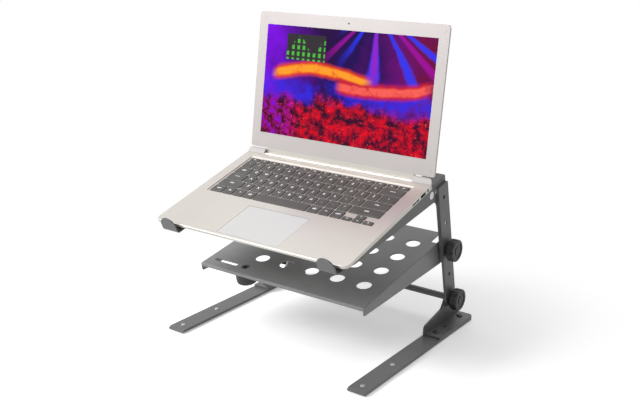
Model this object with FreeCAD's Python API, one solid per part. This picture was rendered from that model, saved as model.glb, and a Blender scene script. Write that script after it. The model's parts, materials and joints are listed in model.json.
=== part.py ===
import FreeCAD, Part
import math
import os
from FreeCAD import Placement, Rotation, Vector

# A folding steel laptop stand with a shelf tray, carrying an opened thin laptop.
# Millimetres, +Z up. The user stands on the -Y side and faces +Y; X is left to right.
# The origin is on the floor, midway between the front of the arms and the back of the feet.

# ---------------------------------------------------------------- stand sizes
running_gap = 0.1           # side clearance between pieces that turn against each other
stud_d = 6.0                # clamping studs of the four side knobs
stud_clearance = 0.05       # radial clearance of a stud in its holes
bore_d = stud_d + 2 * stud_clearance

pivot_y = 138.2             # lower pivot, on which the posts fold
pivot_z = 42.7
post_inner_x = 149.5
post_thickness = 4.0
post_width = 28.0
post_lean = 13.13           # degrees from vertical, towards the user
hole_pitch = 43.3
hole_count = 5
post_top_margin = 19.5      # from the top hole to the post's square end
post_corner_radius = 0.8
clamp_hole = 2              # the arms and the tray are clamped at this hole, counted from the pivot
pin_hole = 3                # the arms' locating pins sit in this hole
open_hole_top = 4

foot_front_y = -134.0
foot_rear_y = 173.0
foot_width = 28.6
foot_bar_thickness = 4.0
foot_bevel = 2.4
foot_corner_cut = 4.0
foot_nose_radius = 1.0
pad_thickness = 1.4
pad_d = 22.0
rivet_places_y = (-117.6, -42.4)
rivet_d = 4.0
rivet_head_d = 6.6
rivet_head_height = 1.2
rivet_head_radius = 0.95

bracket_sheet = 3.0
bracket_front_y = 67.0
bracket_front_height = 13.6
bracket_knee_y = 118.5      # where the sloping top edge meets the hollow of the neck
bracket_knee_height = 24.5
bracket_rear_height = 9.0
bracket_neck_radius = 12.0
bracket_hollow_radius = 14.0
bracket_corner_radius = 6.0
bracket_neck_hollow = 7.0   # the tighter hollow at the front of the neck
bracket_heel_radius = 3.0
bracket_flange_radius = 2.0
bracket_screw_places_y = (81.0, 156.0)
bracket_spare_hole_y = 108.0
bracket_spare_hole_d = 5.0
screw_d = 5.0
screw_head_d = 9.0
screw_head_height = 2.6
screw_head_radius = 1.8
screw_socket_d = 3.4
screw_socket_depth = 1.5

crossbar_d = 10.0
crossbar_thread_depth = 20.0
crossbar_thread_spare = 2.0  # thread left beyond the end of a lower stud

arm_sheet = 2.0
arm_rise = 9.3              # how far the arm's rear corner stands above the post's top
seat_tilt = 14.66           # degrees, the slope of the arms' seat
seat_length = 273.35        # from the arm's rear end to the laptop's front edge
seat_flange_width = 29.5
seat_bend_radius = 1.6      # outside radius of the fold between seat and side plate
arm_toe_s = 8.0             # from the laptop's front edge to where the side plate begins
arm_bend_s = 35.0           # stations on the seat where the side plate's depth is given
arm_bend_depth = 7.8
arm_knee_s = 222.0
arm_knee_depth = 25.3
arm_inner_corner_radius = 12.0
arm_leg_below_clamp = 18.0
arm_leg_corner_radius = 2.0
arm_rear_corner_radius = 1.0
stop_width = 27.0
stop_height = 22.0          # above the seat
stop_lean = 11.0            # degrees, away from the laptop
stop_setback = 3.0          # from the laptop's front edge to the stop
stop_bend_radius = 3.0
pin_d = 5.9
pin_length = 3.2

spacer_length = 3.4
spacer_d = 18.0
washer_thickness = 1.2
washer_d = 16.0

knob_d = 34.0
knob_grip = 12.0            # thickness of the gripping rim
knob_neck_length = 3.5
knob_neck_d = 22.0
knob_neck_flare = 4.0       # how much wider the neck is at the grip
knob_scallops = 10
knob_scallop_depth = 1.2
knob_scallop_radius = 5.6
knob_edge_radius = 2.6
knob_face_d = 23.0
knob_face_depth = 0.8
knob_cap_d = 13.0
knob_stud_embed = 8.0
stud_overrun = 1.2          # how far an upper stud passes its weld nut
nut_height = 5.0
nut_across_flats = 10.0

# ----------------------------------------------------------------- tray sizes
tray_sheet = 1.8
tray_tilt = 10.3            # degrees
tray_depth = 233.0
tray_notch_start = 201.0
tray_notch_width = 12.0
tray_notch_radius = 3.0
tray_corner_radius = 4.0
tray_pivot_s = 213.3        # clamping hole, from the tray's front edge along its top
tray_pivot_drop = 13.1      # and below its top
tray_ear_radius = 13.1
tray_front_flange = 13.0
tray_heel_flange = 36.9
tray_heel_s = 206.0
tray_heel_radius = 6.0
tray_toe_radius = 3.0
tray_lip_height = 5.0
tray_lip_inset = 2.0        # from the tray's sides to the ends of the front lip
tray_bend_radius = 1.6
tray_hole_d = 21.5
tray_hole_pitch_x = 44.5
tray_hole_pitch_s = 44.65
tray_first_row_s = 52.1
tray_columns = 6
tray_rows = 4
slot_centre_x = -109.2
slot_s = 19.2
slot_length = 42.5
slot_width = 7.0
tray_knob_x = -73.2
tray_knob_s = 19.2
tray_knob_hole_d = 13.0
tray_knob_d = 33.0
tray_knob_foot_d = 31.0
tray_knob_grip = 21.0
tray_knob_edge_radius = 4.0
bush_flange_d = 18.0
bush_flange_height = 1.4
bush_bore_d = 8.1
tray_knob_stub_d = 8.0
tray_knob_stub_drop = 0.6   # how far the stub stays below the tray's top
tray_knob_socket_d = 5.0
tray_knob_socket_depth = 3.0

# --------------------------------------------------------------- laptop sizes
laptop_width = 326.0
laptop_depth = 223.0
laptop_offset_x = -2.5      # it is laid on the arms by hand, a little to the left
laptop_corner_radius = 9.0
laptop_front_height = 10.3  # from the arms' seat to the deck's top, at the front edge
laptop_wedge = 1.4          # degrees between the underside and the deck
rim_front = 4.0             # how far the bottom case's upright rim reaches below the deck's top
rim_rear = 8.0
underside_inset_side = 20.0  # from the rim to the flat underside
underside_inset_front = 24.0
underside_inset_rear = 4.0
underside_corner_radius = 14.0
shell_wall = 1.2
deck_sheet = 1.2
deck_skirt = 1.6
deck_edge_chamfer = 0.5
laptop_foot_height = 1.4
laptop_foot_d = 13.0
laptop_foot_radius = 0.5
laptop_foot_inset_x = 30.0
laptop_foot_inset_front = 36.0
laptop_foot_inset_rear = 17.0

hinge_from_rear = 5.34      # hinge axis, forward of the body's rear edge
hinge_drop = 2.5            # and below the deck's top
barrel_radius = 3.0
barrel_clearance = 0.36
barrel_end_gap = 0.6
cap_width = 31.4            # of the end cap at each end of the barrel
cap_rise = 5.2              # the cap's top above the deck, behind the hinge axis
cap_shoulder = 2.2          # from the hinge axis back to the front of that top
hinge_shelf_drop = 8.6
hinge_pin_d = 4.0
hinge_pin_clearance = 0.05
hinge_pin_length = 18.0
hinge_pin_in_barrel = 9.0

key_unit = 18.9             # spacing of one key across
key_row_pitch = 19.0
key_gap = 2.4
key_row_gap = 2.4
key_field_centre_x = -0.5
keys_to_notch = 15.7        # from the function row's rear line to the hinge notch
key_rows_full = 5
function_row_pitch = 10.4
arrow_unit = 16.8
arrow_gap = 1.8             # between the up arrow and the down arrow
space_bar_start = 4.25      # in key units from the left end of the row
space_bar_units = 5
key_top_drop = 0.1
key_thickness = 2.5
key_edge_chamfer = 0.3
key_corner_radius = 0.9
key_clearance = 0.35
key_stem_d = 3.0
key_stem_clearance = 0.1
key_travel = 1.4
recess_depth = 1.3
recess_margin_x = 2.4
recess_margin_front = 0.4
recess_margin_rear = 1.6
recess_slope_rear = 2.6
recess_slope_side = 0.8
recess_corner_radius = 1.5
recess_rim = 2.0            # width of the thickened band under the well's edge
plate_sheet = 1.0
plate_rim = 2.0
plate_gap_under_travel = 0.2

touchpad_width = 104.0
touchpad_front_s = 5.5
touchpad_to_keys = 15.7
touchpad_thickness = 1.6
touchpad_drop = 0.15
touchpad_clearance = 0.4
touchpad_corner_radius = 1.5

lid_open = 113.4            # degrees between the lid and the deck
lid_height = 218.0          # from the hinge axis to the lid's top edge
lid_foot = 10.0             # from the hinge axis to the lid's lower edge
lid_face_gap = 0.4          # between the closed lid and the deck
lid_thickness = 5.2
lid_wall = 1.1
lid_edge_radius = 2.4
lid_top_corner_radius = 5.5
lid_foot_corner_radius = 3.0
bezel_thickness = 1.1
display_width = 294.2       # a 13.3 inch panel of 16:9
display_height = 165.5
display_foot = 33.6         # from the hinge axis to the picture's lower edge
display_recess = 0.35
display_border = 4.0
display_thickness = 2.6
aperture_clearance = 0.15
webcam_d = 2.6
webcam_from_top = 9.0
bumper_d = 5.0
bumper_height = 0.3
bumper_inset = 8.0
web_root = 2.0              # how thick the lid's web is where it leaves the barrel

port_drop = 4.4             # port centres below the deck's top
port_depth = 9.0
port_wall = 0.5
port_corner_radius = 0.5
usb_size = (13.2, 4.6)
usb_tongue = 1.6
usb_tongue_side_gap = 1.5
usb_tongue_top_gap = 1.0
usb_tongue_setback = 1.5
display_port_size = (7.2, 2.8)
card_slot_size = (9.0, 2.4)
jack_d = 4.4
# each port with the distance of its middle from the body's rear edge
right_ports = (("card", 56.2), ("display", 46.6), ("usb", 31.4), ("jack", 18.0))
left_ports = (("usb", 35.0), ("display", 53.0), ("jack", 19.0))

battery_size = (190.0, 60.0, 5.2)
battery_front_s = 28.0
board_size = (150.0, 70.0)
board_left_x = -20.0
board_from_rear = 105.0
board_standoff = 2.2
board_sheet = 1.2
board_leg_d = 4.0
board_leg_inset = 6.0
chip_height = 0.8
chips = ((20.0, 22.0, 26.0, 26.0), (66.0, 20.0, 14.0, 12.0), (66.0, 38.0, 14.0, 12.0))
fan_size = (52.0, 52.0, 4.0)
fan_left_x = -90.0
fan_from_rear = 89.0
fan_corner_radius = 6.0
fan_floor = 0.8
fan_intake_d = 41.6
fan_hub_d = 17.6
fan_blade_tip_d = 38.4
fan_blade_thickness = 1.0
fan_blades = 11
speaker_size = (20.0, 55.0, 5.0)
speaker_inset = 26.0
speaker_front_s = 28.0
case_screw_d = 5.0
case_screw_height = 0.8
case_screw_columns = (-110.0, 0.0, 110.0)
case_screw_front_s = 31.0
case_screw_middle_s = 112.0
case_screw_inset_rear = 20.0

# ------------------------------------------------------------- derived sizes
foot_top = pad_thickness + foot_bar_thickness
post_outer_x = post_inner_x + post_thickness
arm_inner_x = post_inner_x - arm_sheet
bracket_outer_x = post_inner_x - running_gap
bracket_inner_x = bracket_outer_x - bracket_sheet
foot_inner_x = bracket_inner_x
foot_outer_x = foot_inner_x + foot_width
foot_middle_x = (foot_inner_x + foot_outer_x) / 2
tray_half_width = arm_inner_x - spacer_length - running_gap
clamp_height = clamp_hole * hole_pitch
post_height = (hole_count - 1) * hole_pitch + post_top_margin
washer_outer_x = post_outer_x + washer_thickness
knob_inner_x = washer_outer_x + running_gap
knob_outer_x = knob_inner_x + knob_neck_length + knob_grip
deck_tilt = seat_tilt + laptop_wedge
half_width = laptop_width / 2
hinge_s = laptop_depth - hinge_from_rear
notch_s = hinge_s - barrel_radius - barrel_clearance
barrel_half_length = half_width - cap_width - barrel_end_gap
lid_face = hinge_drop + lid_face_gap
lid_back = lid_face + lid_thickness
bezel_back = lid_face + bezel_thickness
display_front = lid_face + display_recess
key_field_width = 15 * key_unit
key_field_left = key_field_centre_x - key_field_width / 2
key_field_right = key_field_left + key_field_width
key_field_rear = notch_s - keys_to_notch
function_row_s = key_field_rear - function_row_pitch
key_field_front = function_row_s - key_rows_full * key_row_pitch
touchpad_depth = key_field_front - touchpad_to_keys - touchpad_front_s
key_bottom = -key_top_drop - key_thickness
plate_top = key_bottom - key_travel - plate_gap_under_travel
case_floor = laptop_foot_height + shell_wall   # above the arms' seat

X_AXIS = Vector(1, 0, 0)
STAND_UP = Rotation(Vector(1, 1, 1), 120)   # turns a flat X-Y outline into the Y-Z plane


# --------------------------------------------------------------------- frames
def tilted(y, z, degrees):
    """Frame at (0, y, z) whose own Y axis rises by the given angle."""
    return Placement(Vector(0, y, z), Rotation(X_AXIS, degrees))


post_frame = tilted(pivot_y, pivot_z, post_lean)
clamp_point = post_frame.multVec(Vector(0, 0, clamp_height))
seat_end = post_frame.multVec(Vector(0, post_width / 2, post_height + arm_rise))
seat_turn = Rotation(X_AXIS, seat_tilt)
seat_frame = Placement(seat_end - seat_turn.multVec(Vector(0, seat_length, 0)), seat_turn)
laptop_frame = seat_frame.multiply(Placement(Vector(laptop_offset_x, 0, 0), Rotation()))
deck_on_seat = Placement(Vector(0, 0, laptop_front_height), Rotation(X_AXIS, laptop_wedge))
deck_frame = laptop_frame.multiply(deck_on_seat)
deck_origin = deck_frame.Base
hinge_point = deck_frame.multVec(Vector(0, hinge_s, -hinge_drop))
lid_frame = Placement(hinge_point, Rotation(X_AXIS, deck_tilt + 90 - lid_open))
tray_turn = Rotation(X_AXIS, tray_tilt)
tray_origin = clamp_point - tray_turn.multVec(Vector(0, tray_pivot_s, -tray_pivot_drop))
tray_frame = Placement(tray_origin, tray_turn)


def placed(shape, frame):
    moved = shape.copy()
    moved.Placement = frame.multiply(moved.Placement)
    return moved


# ---------------------------------------------------------------- basic forms
def outline(corners):
    """Flat face through corners (x, y) or (x, y, radius), each corner rounded by its radius."""
    spots = []
    count = len(corners)
    for index, corner in enumerate(corners):
        here = Vector(corner[0], corner[1], 0)
        radius = corner[2] if len(corner) > 2 else 0
        if radius == 0:
            spots.append((here, None, here))
            continue
        before = Vector(*corners[index - 1][:2], 0)
        after = Vector(*corners[(index + 1) % count][:2], 0)
        towards_before = (before - here).normalize()
        towards_after = (after - here).normalize()
        half = towards_before.getAngle(towards_after) / 2
        back = radius / math.tan(half)
        inward = (towards_before + towards_after).normalize()
        centre = here + inward * (radius / math.sin(half))
        spots.append((here + towards_before * back, centre - inward * radius, here + towards_after * back))
    edges = []
    for index, (start, middle, end) in enumerate(spots):
        following = spots[(index + 1) % count][0]
        if middle is not None:
            edges.append(Part.Arc(start, middle, end).toShape())
        if (end - following).Length > 1e-6:
            edges.append(Part.makeLine(end, following))
    return Part.Face(Part.Wire(edges))


def rectangle(x0, x1, y0, y1, radius=0):
    return [(x0, y0, radius), (x1, y0, radius), (x1, y1, radius), (x0, y1, radius)]


def slab(corners, z0, z1):
    """Plan outline, made solid from height z0 to z1."""
    face = outline(corners)
    face.translate(Vector(0, 0, z0))
    return face.extrude(Vector(0, 0, z1 - z0))


def side_plate(corners, x0, x1):
    """Outline given as (y, z), made solid from x0 to x1."""
    face = placed(outline(corners), Placement(Vector(), STAND_UP))
    face.translate(Vector(x0, 0, 0))
    return face.extrude(Vector(x1 - x0, 0, 0))


def front_plate(corners, y0, y1):
    """Outline given as (x, z), made solid from y0 to y1."""
    face = placed(outline(corners), Placement(Vector(), Rotation(X_AXIS, 90)))
    face.translate(Vector(0, y0, 0))
    return face.extrude(Vector(0, y1 - y0, 0))


def block(x0, x1, y0, y1, z0, z1):
    return Part.makeBox(x1 - x0, y1 - y0, z1 - z0, Vector(x0, y0, z0))


def rod_x(diameter, x0, x1, y=0.0, z=0.0):
    return Part.makeCylinder(diameter / 2, x1 - x0, Vector(x0, y, z), X_AXIS)


def rod_z(diameter, x, y, z0, z1):
    return Part.makeCylinder(diameter / 2, z1 - z0, Vector(x, y, z0))


def mirrored(shape):
    return shape.mirror(Vector(0, 0, 0), X_AXIS)


def both_sides(*shapes):
    return list(shapes) + [mirrored(shape) for shape in shapes]


def group(shapes):
    solids = [solid for shape in shapes for solid in shape.Solids]
    return solids[0] if len(solids) == 1 else Part.makeCompound(solids)


def rounded_edges(shape, radius, wanted):
    return shape.makeFillet(radius, [edge for edge in shape.Edges if wanted(edge)])


def lies_on(edge, axis, value):
    """True when an edge keeps one coordinate at the given value along its whole length."""
    box = edge.BoundBox
    low, high = {"x": (box.XMin, box.XMax), "y": (box.YMin, box.YMax), "z": (box.ZMin, box.ZMax)}[axis]
    return abs(low - value) < 0.01 and abs(high - value) < 0.01


def hexagon(across_flats):
    corner = across_flats / math.sqrt(3)
    turns = [math.radians(60 * step) for step in range(6)]
    return [(corner * math.cos(turn), corner * math.sin(turn)) for turn in turns]


# ------------------------------------------------------------ feet and brackets
def foot_bar():
    """Flat steel bar with a bevelled nose and a cut rear outer corner."""
    plan = [(foot_inner_x, foot_front_y, foot_nose_radius),
            (foot_outer_x, foot_front_y, foot_nose_radius),
            (foot_outer_x, foot_rear_y - foot_corner_cut),
            (foot_outer_x - foot_corner_cut, foot_rear_y), (foot_inner_x, foot_rear_y)]
    bar = slab(plan, pad_thickness, foot_top)
    nose = side_plate([(foot_front_y, foot_top - foot_bevel), (foot_front_y, foot_top),
                       (foot_front_y + 2 * foot_bevel, foot_top)], foot_inner_x, foot_outer_x)
    holes = [rod_z(rivet_d, foot_middle_x, y, pad_thickness, foot_top) for y in rivet_places_y]
    holes += [rod_z(screw_d, foot_middle_x, y, pad_thickness, foot_top) for y in bracket_screw_places_y]
    return bar.cut([nose] + holes)


def foot_pads():
    places = rivet_places_y + bracket_screw_places_y
    return group(both_sides(*[rod_z(pad_d, foot_middle_x, y, 0, pad_thickness) for y in places]))


def foot_rivets():
    """Domed rivets that hold the front pads, flush with the bar's underside."""
    def rivet(y):
        head = rod_z(rivet_head_d, foot_middle_x, y, foot_top, foot_top + rivet_head_height)
        head = rounded_edges(head, rivet_head_radius,
                             lambda edge: lies_on(edge, "z", foot_top + rivet_head_height))
        return head.fuse(rod_z(rivet_d, foot_middle_x, y, pad_thickness, foot_top))
    return group(both_sides(*[rivet(y) for y in rivet_places_y]))


def foot_bracket():
    """Angle bracket: a flange screwed to the foot and an upright plate that carries the pivot."""
    rear_y = foot_rear_y
    top = pivot_z + bracket_neck_radius
    neck_front, neck_rear = pivot_y - bracket_neck_radius, pivot_y + bracket_neck_radius
    plate = side_plate([
        (bracket_front_y, foot_top),
        (bracket_front_y, foot_top + bracket_front_height, bracket_corner_radius),
        (bracket_knee_y, foot_top + bracket_knee_height, bracket_hollow_radius),
        (neck_front, pivot_z, bracket_neck_hollow),
        (neck_front, top, bracket_neck_radius),
        (neck_rear, top, bracket_neck_radius),
        (neck_rear, pivot_z - bracket_neck_radius, bracket_hollow_radius),
        (rear_y, foot_top + bracket_rear_height, bracket_heel_radius),
        (rear_y, foot_top)], bracket_inner_x, bracket_outer_x)
    flange = slab([(bracket_inner_x, bracket_front_y),
                   (foot_outer_x, bracket_front_y, bracket_flange_radius),
                   (foot_outer_x, rear_y - foot_corner_cut),
                   (foot_outer_x - foot_corner_cut, rear_y), (bracket_inner_x, rear_y)],
                  foot_top, foot_top + bracket_sheet)
    holes = [rod_z(screw_d, foot_middle_x, y, foot_top, foot_top + bracket_sheet)
             for y in bracket_screw_places_y]
    holes.append(rod_z(bracket_spare_hole_d, foot_middle_x, bracket_spare_hole_y,
                       foot_top, foot_top + bracket_sheet))
    holes.append(rod_x(bore_d, bracket_inner_x, bracket_outer_x, pivot_y, pivot_z))
    return plate.fuse(flange).removeSplitter().cut(holes)


def bracket_screws():
    """Button-head socket screws through the bracket's flange into the foot."""
    seat = foot_top + bracket_sheet

    def screw(y):
        head = rod_z(screw_head_d, foot_middle_x, y, seat, seat + screw_head_height)
        head = rounded_edges(head, screw_head_radius,
                             lambda edge: lies_on(edge, "z", seat + screw_head_height))
        socket = rod_z(screw_socket_d, foot_middle_x, y,
                       seat + screw_head_height - screw_socket_depth, seat + screw_head_height)
        return head.fuse(rod_z(screw_d, foot_middle_x, y, pad_thickness, seat)).cut(socket)
    return group(both_sides(*[screw(y) for y in bracket_screw_places_y]))


def crossbar():
    """Round bar between the brackets, tapped at each end for a lower knob's stud."""
    bar = rod_x(crossbar_d, -bracket_inner_x, bracket_inner_x, pivot_y, pivot_z)
    tapped = rod_x(bore_d, bracket_inner_x - crossbar_thread_depth, bracket_inner_x, pivot_y, pivot_z)
    return bar.cut(both_sides(tapped))


# --------------------------------------------------------------- posts and arms
def post():
    """Flat bar, round at the pivot end and square at the top, with a row of adjusting holes."""
    half = post_width / 2
    bar = side_plate([(-half, -half, half), (half, -half, half),
                      (half, post_height, post_corner_radius), (-half, post_height, post_corner_radius)],
                     post_inner_x, post_outer_x)
    holes = [rod_x(bore_d, post_inner_x, post_outer_x, 0, step * hole_pitch) for step in range(hole_count)]
    return placed(bar.cut(holes), post_frame)


def meeting(line_a, line_b):
    """Crossing point of two lines in the Y-Z plane, each given by two points."""
    (ay, az), (by, bz) = line_a
    (cy, cz), (dy, dz) = line_b
    run_y, run_z = by - ay, bz - az
    step_y, step_z = dy - cy, dz - cz
    share = ((cy - ay) * step_z - (cz - az) * step_y) / (run_y * step_z - run_z * step_y)
    return ay + share * run_y, az + share * run_z


def arm():
    """Folded sheet arm: a sloping seat flange, a front stop and a side plate with a leg down the post."""
    def on_seat(s, t):
        point = seat_frame.multVec(Vector(0, s, t))
        return point.y, point.z

    def on_post(y, z):
        point = post_frame.multVec(Vector(0, y, z))
        return point.y, point.z

    half = post_width / 2
    leg_end = clamp_height - arm_leg_below_clamp
    lower_edge = on_seat(arm_bend_s, -arm_bend_depth), on_seat(arm_knee_s, -arm_knee_depth)
    inner_corner = meeting(lower_edge, (on_post(-half, 0), on_post(-half, post_height)))
    rear_top = meeting((on_seat(0, 0), on_seat(seat_length, 0)),
                       (on_post(half, 0), on_post(half, post_height)))
    plate = side_plate([
        on_seat(arm_toe_s, 0), on_seat(arm_toe_s, -arm_sheet), lower_edge[0],
        (*inner_corner, arm_inner_corner_radius),
        (*on_post(-half, leg_end), arm_leg_corner_radius), (*on_post(half, leg_end), arm_leg_corner_radius),
        (*rear_top, arm_rear_corner_radius)], arm_inner_x, post_inner_x)

    # seat flange and stop share one bent strip in the seat's frame, trimmed to the stop's round top
    lean_back = (stop_height + arm_sheet) * math.tan(math.radians(stop_lean))
    inner_x = post_inner_x - seat_flange_width
    strip = side_plate([
        (seat_length, 0), (seat_length, -arm_sheet),
        (-stop_setback - arm_sheet, -arm_sheet, stop_bend_radius + arm_sheet),
        (-stop_setback - arm_sheet - lean_back, stop_height), (-stop_setback - lean_back, stop_height),
        (-stop_setback, 0, stop_bend_radius)], inner_x, post_inner_x)
    stop_trim = front_plate([
        (inner_x, -2 * arm_sheet), (inner_x + stop_width, -2 * arm_sheet),
        (inner_x + stop_width, stop_height, stop_width / 2), (inner_x, stop_height, stop_width / 2)],
        -4 * stop_height, arm_bend_s)
    keep = stop_trim.fuse(block(inner_x, post_inner_x, 0, seat_length, -2 * arm_sheet, 0))
    folded = strip.common(keep).fuse(placed(plate, seat_frame.inverse())).removeSplitter()
    folded = rounded_edges(folded, seat_bend_radius, lambda edge: (
        lies_on(edge, "x", post_inner_x) and lies_on(edge, "z", 0)
        and edge.BoundBox.YLength > arm_knee_s))

    holes = [placed(rod_x(bore_d, arm_inner_x, post_inner_x, 0, step * hole_pitch), post_frame)
             for step in (clamp_hole, open_hole_top)]
    holes.append(placed(rod_x(pin_d, arm_inner_x, post_inner_x, 0, pin_hole * hole_pitch), post_frame))
    return placed(folded, seat_frame).cut(holes)


def arm_locating_pins():
    """Rivet pins in the arms' legs that sit in a post hole, so the arm can't turn about the knob."""
    pin = rod_x(pin_d, arm_inner_x, post_inner_x + pin_length, 0, pin_hole * hole_pitch)
    return group(both_sides(placed(pin, post_frame)))


def ring_x(outer_d, inner_d, x0, x1):
    return rod_x(outer_d, x0, x1).cut(rod_x(inner_d, x0, x1))


def knob_washers():
    washer = ring_x(washer_d, bore_d, post_outer_x, washer_outer_x)
    lower = placed(washer, post_frame)
    upper = washer.copy()
    upper.translate(Vector(0, 0, clamp_height))
    return group(both_sides(lower, placed(upper, post_frame)))


def pivot_spacers():
    """Nylon spacers between the arms' legs and the tray's ears."""
    spacer = ring_x(spacer_d, bore_d, arm_inner_x - spacer_length, arm_inner_x)
    spacer.translate(Vector(0, 0, clamp_height))
    return group(both_sides(placed(spacer, post_frame)))


# ---------------------------------------------------------------------- knobs
def side_knob():
    """Moulded clamping knob on the X axis: scalloped rim, dished face with a raised centre cap."""
    grip_start = knob_inner_x + knob_neck_length
    grip = rod_x(knob_d, grip_start, knob_outer_x)
    grip = rounded_edges(grip, knob_edge_radius,
                         lambda edge: lies_on(edge, "x", knob_outer_x) or lies_on(edge, "x", grip_start))
    reach = knob_d / 2 + knob_scallop_radius - knob_scallop_depth
    scallops = []
    for step in range(knob_scallops):
        turn = 2 * math.pi * (step + 0.5) / knob_scallops
        scallops.append(rod_x(2 * knob_scallop_radius, grip_start, knob_outer_x,
                              reach * math.cos(turn), reach * math.sin(turn)))
    dish = ring_x(knob_face_d, knob_cap_d, knob_outer_x - knob_face_depth, knob_outer_x)
    neck = Part.makeCone(knob_neck_d / 2, (knob_neck_d + knob_neck_flare) / 2, knob_neck_length,
                         Vector(knob_inner_x, 0, 0), X_AXIS)
    insert = rod_x(stud_d, knob_inner_x, grip_start + knob_stud_embed)
    return grip.cut(scallops + [dish]).fuse(neck).removeSplitter().cut(insert)


def knob_stud(inner_end_x):
    return rod_x(stud_d, inner_end_x, knob_inner_x + knob_neck_length + knob_stud_embed)


# ----------------------------------------------------------------------- tray
def tray():
    """One sheet folded down at the sides and front, with two ears at the back on the clamping studs."""
    half = tray_half_width
    rear_half = half - tray_notch_width
    ear_end = tray_pivot_s + tray_ear_radius
    ear_low = -tray_pivot_drop - tray_ear_radius
    plate = slab([(-half, 0), (half, 0), (half, tray_notch_start),
                  (rear_half, tray_notch_start, tray_notch_radius),
                  (rear_half, tray_depth, tray_corner_radius), (-rear_half, tray_depth, tray_corner_radius),
                  (-rear_half, tray_notch_start, tray_notch_radius), (-half, tray_notch_start)],
                 -tray_sheet, 0)
    flange = side_plate([(0, 0), (ear_end, 0, tray_ear_radius), (ear_end, ear_low, tray_ear_radius),
                         (tray_heel_s, -tray_heel_flange, tray_heel_radius),
                         (0, -tray_front_flange, tray_toe_radius)], half - tray_sheet, half)
    lip = block(-half + tray_lip_inset, half - tray_lip_inset, 0, tray_sheet, -tray_lip_height, 0)
    body = plate.fuse(both_sides(flange) + [lip]).removeSplitter()

    def is_fold(edge):
        box = edge.BoundBox
        along_side = abs(abs(edge.CenterOfMass.x) - half) < 0.01 and box.YLength > tray_notch_start / 2
        along_front = lies_on(edge, "y", 0) and box.XLength > half
        return lies_on(edge, "z", 0) and (along_side or along_front)
    body = rounded_edges(body, tray_bend_radius, is_fold)

    holes = []
    for row in range(tray_rows):
        for column in range(tray_columns):
            x = (column - (tray_columns - 1) / 2) * tray_hole_pitch_x
            s = tray_first_row_s + row * tray_hole_pitch_s
            if (row, column) != (0, 0):
                holes.append(rod_z(tray_hole_d, x, s, -tray_sheet, 0))
    holes.append(rod_z(tray_knob_hole_d, tray_knob_x, tray_knob_s, -tray_sheet, 0))
    holes.append(slab(rectangle(slot_centre_x - slot_length / 2, slot_centre_x + slot_length / 2,
                                slot_s - slot_width / 2, slot_s + slot_width / 2, slot_width / 2),
                      -tray_sheet, 0))
    pivot = rod_x(bore_d, -half, half, tray_pivot_s, -tray_pivot_drop)
    return placed(body.cut(holes + [pivot]), tray_frame)


def tray_weld_nuts():
    """Hexagon nuts welded inside the tray's ears, on the upper knobs' studs."""
    inner = tray_half_width - tray_sheet - nut_height
    nut = side_plate(hexagon(nut_across_flats), inner, inner + nut_height)
    nut = nut.cut(rod_x(bore_d, inner, inner + nut_height))
    nut.translate(Vector(0, tray_pivot_s, -tray_pivot_drop))
    return group(both_sides(placed(nut, tray_frame)))


def tray_bush():
    """Plastic bush in the tray's small hole, in which the thumb knob turns."""
    foot = -tray_sheet - bush_flange_height
    bush = rod_z(tray_knob_hole_d, tray_knob_x, tray_knob_s, -tray_sheet, 0)
    bush = bush.fuse(rod_z(bush_flange_d, tray_knob_x, tray_knob_s, foot, -tray_sheet))
    bore = rod_z(bush_bore_d, tray_knob_x, tray_knob_s, foot, 0)
    return placed(bush.removeSplitter().cut(bore), tray_frame)


def tray_knob():
    """Thumb knob under the tray, tapering downwards, with a hollow stub up through the bush."""
    top = -tray_sheet - bush_flange_height - running_gap
    grip = Part.makeCone(tray_knob_foot_d / 2, tray_knob_d / 2, tray_knob_grip,
                         Vector(tray_knob_x, tray_knob_s, top - tray_knob_grip))
    grip = rounded_edges(grip, tray_knob_edge_radius,
                         lambda edge: lies_on(edge, "z", top - tray_knob_grip))
    stub = rod_z(tray_knob_stub_d, tray_knob_x, tray_knob_s, top, -tray_knob_stub_drop)
    socket = rod_z(tray_knob_socket_d, tray_knob_x, tray_knob_s,
                   -tray_knob_stub_drop - tray_knob_socket_depth, -tray_knob_stub_drop)
    return placed(grip.fuse(stub).cut(socket), tray_frame)


# ------------------------------------------------------------------ keyboard
def key_row(widths, left, front, unit=key_unit, depth=key_row_pitch - key_row_gap):
    """Footprints (x0, x1, s0, s1) of a row of keys whose widths are given in units."""
    keys = []
    start = left
    for width in widths:
        end = start + width * unit
        keys.append((start + key_gap / 2, end - key_gap / 2, front, front + depth))
        start = end
    return keys


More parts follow.
